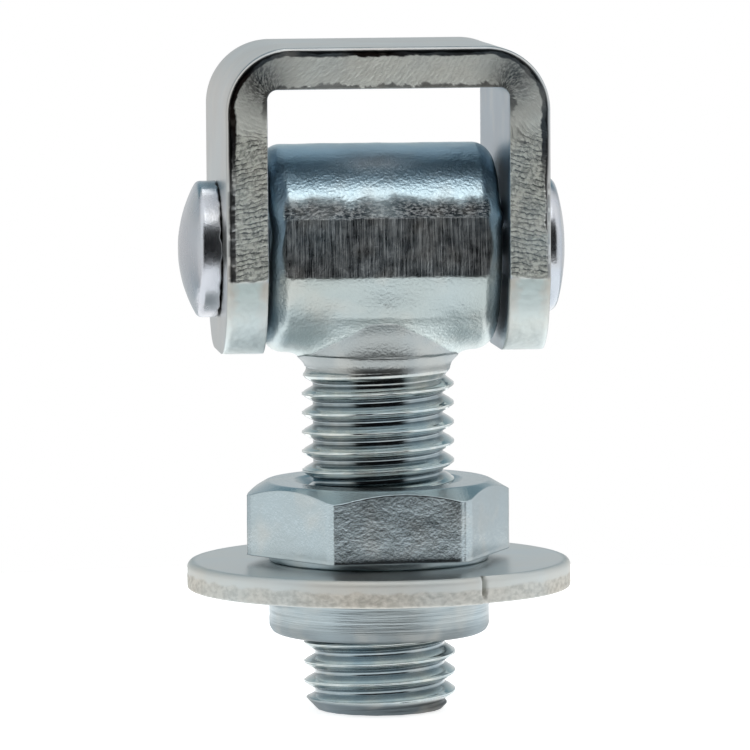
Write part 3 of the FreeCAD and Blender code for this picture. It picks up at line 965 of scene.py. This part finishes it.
def forged_zinc():
    """Zinc on a forging: blue-tinged and bright, granular, with a torn strip and drawn scratches.

    The film is bluer towards the top of the eye, and its lowest part is painted paler: a painted
    reflection of the floor. The trimming die tore the skin into black pits between bright ridges,
    and drew scratches about 0.3 mm apart down the flat below. A rough patch with pits on the top
    is painted near white: a painted highlight.
    """
    zinc, place = start("zinc on forging")
    scars_and_painted_highlight = split(zinc, painted(zinc, "scars_and_painted_highlight"))
    torn, trimmed, pits_and_painted_highlight = scars_and_painted_highlight[0], scars_and_painted_highlight[1], scars_and_painted_highlight[2]
    height = split(zinc, place)["Z"]
    skin = speckle(zinc, place, 0.38, 3.0)
    scratches = speckle(zinc, stretch(zinc, place, (1 / 0.2, 1, 1 / 6)), 1, 4.0, 0.7)
    patches = speckle(zinc, place, 1.6, 3.0)
    flakes = speckle(zinc, stretch(zinc, place, (1 / 0.55, 1 / 0.5, 1 / 0.26)), 1, 3.0, 0.6)
    base = shade(zinc, height, PIN_Z - 2, PIN_Z + 9, "#ADB6B4", "#C2D8E0")
    # Painted reflection: the eye's lowest part is painted paler, for the bright floor below it
    base = shade(zinc, height, PIN_Z - 8.6, PIN_Z - 9.8, base, "#D3DCDA")
    mottle = work_out(zinc, "MULTIPLY_ADD", patches, 0.45, scratches)
    scored = shade(zinc, mottle, 0.58, 0.92, "#383B3E", "#AFB2B2")
    colour = tint(zinc, trimmed, base, scored)
    broken = shade(zinc, flakes, 0.44, 0.62, "#141619", "#BCBEBE")
    colour = tint(zinc, torn, colour, broken)
    scored_rough = rescale(zinc, mottle, 0.58, 0.92, 0.25, 0.5)
    smooth = rescale(zinc, height, PIN_Z - 6, PIN_Z + 4, 0.42, 0.3)
    roughness = between(zinc, trimmed, smooth, scored_rough)
    # Painted highlight: the rough patch on the top is painted near white
    colour = tint(zinc, pits_and_painted_highlight, colour, "#F2F8FA")
    roughness = between(zinc, torn, roughness, 0.42)
    roughness = between(zinc, pits_and_painted_highlight, roughness, 0.62)
    relief = bump(zinc, skin, 0.07)
    relief = bump(zinc, scratches, 0.09, relief, trimmed)
    relief = bump(zinc, flakes, 0.55, relief, torn)
    relief = bump(zinc, skin, 0.15, relief, pits_and_painted_highlight)
    return plate(zinc, place, colour, roughness, relief)


def rolled_thread_zinc():
    """Zinc on a rolled thread: burnished flanks with painted shade deep in the grooves, a granular forged
    neck, and a dark sawn end.
    """
    zinc, place = start("zinc on rolled thread")
    skin = speckle(zinc, place, 0.5, 3.0)
    blotch = speckle(zinc, place, 1.8, 2.0)
    height = split(zinc, place)["Z"]
    blotch = rescale(zinc, blotch, 0.3, 0.7)
    colour = tint(zinc, blotch, "#B4BFC1", "#CACEC9")
    # Painted shade: the thread is painted darker deep in its grooves
    deep = rescale(zinc, painted(zinc, "groove", "Fac"), 0.15, 0.9, 0, 0.7)
    colour = tint(zinc, deep, colour, "#55626A")
    sawn = rescale(zinc, height, STUD_END_Z + 1.9, STUD_END_Z + 1.3)
    colour = tint(zinc, sawn, colour, "#4E5252")
    forged = rescale(zinc, height, NECK_END_Z - 0.2, NECK_END_Z + 1.0)
    colour = tint(zinc, forged, colour, "#999E9E")
    roughness = rescale(zinc, sawn, 0, 1, 0.13, 0.5)
    roughness = between(zinc, forged, roughness, 0.32)
    relief = bump(zinc, skin, 0.003)
    relief = bump(zinc, speckle(zinc, place, 0.28, 2.0), 0.05, relief, forged)
    return plate(zinc, place, colour, roughness, relief, grain_depth=0.002)


def nut_zinc():
    """Zinc on a hot-forged nut: leathery flats with shallow dents."""
    zinc, place = start("zinc on forged nut")
    relief = bump(zinc, speckle(zinc, place, 0.4, 3.0), 0.022)
    relief = bump(zinc, speckle(zinc, place, 1.7, 2.0), 0.02, relief)
    return plate(zinc, place, linear("#A9B5B9"), 0.25, relief)


def stamped_zinc():
    """Zinc on blanked plate: satin face, and a matt rim, burnished above and broken below."""
    zinc, place = start("zinc on blanked plate")
    rims = split(zinc, painted(zinc, "rims"))
    rim, broken = rims[0], rims[1]
    tears = speckle(zinc, stretch(zinc, place, (1 / 0.8, 1 / 0.8, 1 / 0.6)), 1, 4.0)
    rough = shade(zinc, tears, 0.38, 0.6, "#B4B1A9", "#CBC8C0")
    colour = tint(zinc, rim, "#C4C7C6", "#CDCECA")
    colour = tint(zinc, broken, colour, rough)
    roughness = rescale(zinc, rim, 0, 1, 0.3, 0.65)
    relief = bump(zinc, tears, 0.09, strength=broken)
    return plate(zinc, place, colour, roughness, relief)


def turned_zinc():
    """Zinc on a turned bush: fine level tool lines, and a duller, grainy lower edge."""
    zinc, place = start("zinc on turned bush")
    lines = speckle(zinc, stretch(zinc, place, (1 / 9, 1 / 9, 1 / 0.22)), 1, 2.0)
    height = split(zinc, place)["Z"]
    low = rescale(zinc, height, BOSS_END_Z + 2.4, BOSS_END_Z + 1.0)
    colour = tint(zinc, low, "#A0A9AB", "#7F8688")
    roughness = between(zinc, low, 0.3, 0.48)
    streak = rescale(zinc, lines, 0.35, 0.6, 0.35, 0.0)
    colour = tint(zinc, streak, colour, "#6F787B")
    relief = bump(zinc, lines, 0.05)
    return plate(zinc, place, colour, roughness, relief)


# The studio: a plain floor, a light tent that is open towards the camera's side, and soft lamps

def make_floor():
    """A plain pale floor at the stud's end. It keeps the shadow and looks white beyond it."""
    bpy.ops.mesh.primitive_circle_add(vertices=128, radius=0.16, fill_type="NGON",
                                      location=(0, 0, STUD_END_Z * MM - 0.0002))
    floor = bpy.context.object
    floor.name = "floor"
    pale = emptied(bpy.data.materials.new("pale floor"))
    rays = add(pale, "LightPath")
    seen = work_out(pale, "MAXIMUM", rays["Is Camera Ray"], rays["Is Glossy Ray"])
    seen = work_out(pale, "MAXIMUM", seen, rays["Is Transmission Ray"])
    strength = work_out(pale, "MULTIPLY", seen, 0.75)
    matt = add(pale, "BsdfDiffuse", {"Color": linear("#E6E6E6")})[0]
    glow = add(pale, "Emission", {"Color": linear("#FFFFFF"), "Strength": strength})[0]
    add(pale, "OutputMaterial", {"Surface": add(pale, "AddShader", {0: matt, 1: glow})[0]})
    floor.data.materials.append(pale)


def make_tent():
    """The world: a white tent whose light depends on the angle round the level axis of the barrel.

    From the level front, over the top, to the level back: a dark opening, a softbox in front of
    the top and overhead, a dim blue gap behind it and a white back. Both sides are white, and the
    left one reaches further round to the front.
    """
    world = emptied(bpy.data.worlds.new("light tent"))
    bpy.context.scene.world = world
    towards = add(world, "TexCoord")["Generated"]
    parts = split(world, towards)
    forward = work_out(world, "MULTIPLY", parts["Y"], -1.0)
    upward = work_out(world, "ABSOLUTE", parts["Z"])
    over = work_out(world, "ARCTAN2", upward, forward)
    over = work_out(world, "DIVIDE", over, math.pi)
    wall = add(world, "ValToRGB", {"Fac": over}, stops=[
        (0.0, (0.010, 0.010, 0.011)),
        (0.25, (0.015, 0.015, 0.016)),
        (0.28, (1.35, 1.35, 1.35)),
        (0.48, (1.25, 1.26, 1.27)),
        (0.64, (0.90, 0.93, 0.95)),
        (0.70, (0.10, 0.20, 0.25)),
        (0.78, (0.16, 0.29, 0.35)),
        (0.88, (0.52, 0.60, 0.63)),
        (0.97, (0.78, 0.79, 0.79)),
    ])["Color"]
    level = add(world, "VectorMath", {0: towards, 1: (1.0, 1.0, 0.39)}, operation="MULTIPLY")["Vector"]
    level = add(world, "VectorMath", {0: level}, operation="NORMALIZE")["Vector"]
    level = split(world, level)
    across = rescale(world, level["X"], -1.0, 1.0)
    sides = add(world, "ValToRGB", {"Fac": across}, stops=[
        (0.06, (1.0, 1.0, 0.98)),
        (0.15, (0, 0, 0)),
        (0.80, (0, 0, 0)),
        (0.90, (1.05, 1.07, 1.09)),
    ])["Color"]
    tent = add(world, "Mix", {0: 1.0, 6: wall, 7: sides}, data_type="RGBA", blend_type="LIGHTEN")[2]
    rays = add(world, "LightPath")
    seen = work_out(world, "MAXIMUM", rays["Is Camera Ray"], rays["Is Transmission Ray"])
    shown = add(world, "Mix", {0: seen, 6: tent, 7: (1.0, 1.0, 1.0, 1.0)}, data_type="RGBA")[2]
    add(world, "OutputWorld", {"Surface": add(world, "Background", {"Color": shown})[0]})


def make_lamp(name, place, size, power, aim):
    """A soft square lamp, turned towards a point of the hinge."""
    light = bpy.data.lights.new(name, "AREA")
    light.size = size
    light.energy = power
    lamp = bpy.data.objects.new(name, light)
    bpy.context.scene.collection.objects.link(lamp)
    lamp.location = place
    lamp.rotation_euler = (Vector(aim) - Vector(place)).to_track_quat("-Z", "Y").to_euler()


def make_camera():
    """A long lens a little to the left of the front and above the middle, aimed at the nut's top."""
    turn = math.radians(6.4)
    rise = math.radians(5.2)
    roll = math.radians(-0.38)
    distance = 0.8869
    back = Vector((-math.sin(turn) * math.cos(rise), -math.cos(turn) * math.cos(rise), math.sin(rise)))
    right = Vector((0, 0, 1)).cross(back).normalized()
    up = back.cross(right)
    rolled_right = right * math.cos(roll) + up * math.sin(roll)
    rolled_up = up * math.cos(roll) - right * math.sin(roll)
    aim = Vector((0, 0, -0.043)) - right * 0.00033 - up * 0.000165
    lens = bpy.data.cameras.new("camera")
    lens.lens = 328.0
    lens.clip_end = 50.0
    camera = bpy.data.objects.new("camera", lens)
    bpy.context.scene.collection.objects.link(camera)
    turned = Matrix((rolled_right, rolled_up, back)).transposed().to_4x4()
    turned.translation = aim + back * distance
    camera.matrix_world = turned
    bpy.context.scene.camera = camera


make_camera()
for make, finish, body, node, slot in (
        (make_bracket, rolled_bar_zinc, "post_bracket", "bracket", "zinc_flat_bar"),
        (make_hinge_pin, rivet_zinc, "post_bracket", "hinge_pin", "zinc_rivet"),
        (make_eye, forged_zinc, "eye", "eye_bolt", "zinc_forging"),
        (make_stud, rolled_thread_zinc, "eye", "eye_bolt", "zinc_forging"),
        (make_lock_nut, nut_zinc, "nut", "lock_nut", "zinc_nut"),
        (make_flange_disc, stamped_zinc, "flange", "flange_disc", "zinc_stamping"),
        (make_threaded_boss, turned_zinc, "flange", "threaded_boss", "zinc_turned")):
    dress(make(), body, node, finish())
make_floor()
make_tent()
make_lamp("front softbox", (0.0, -0.47, 0.75), 0.34, 0.4, (0, 0, -0.04))
make_lamp("back lamp", (0.0, 0.45, 0.8), 0.2, 0.3, (0, 0, -0.03))
bpy.context.scene.view_settings.view_transform = "Standard"
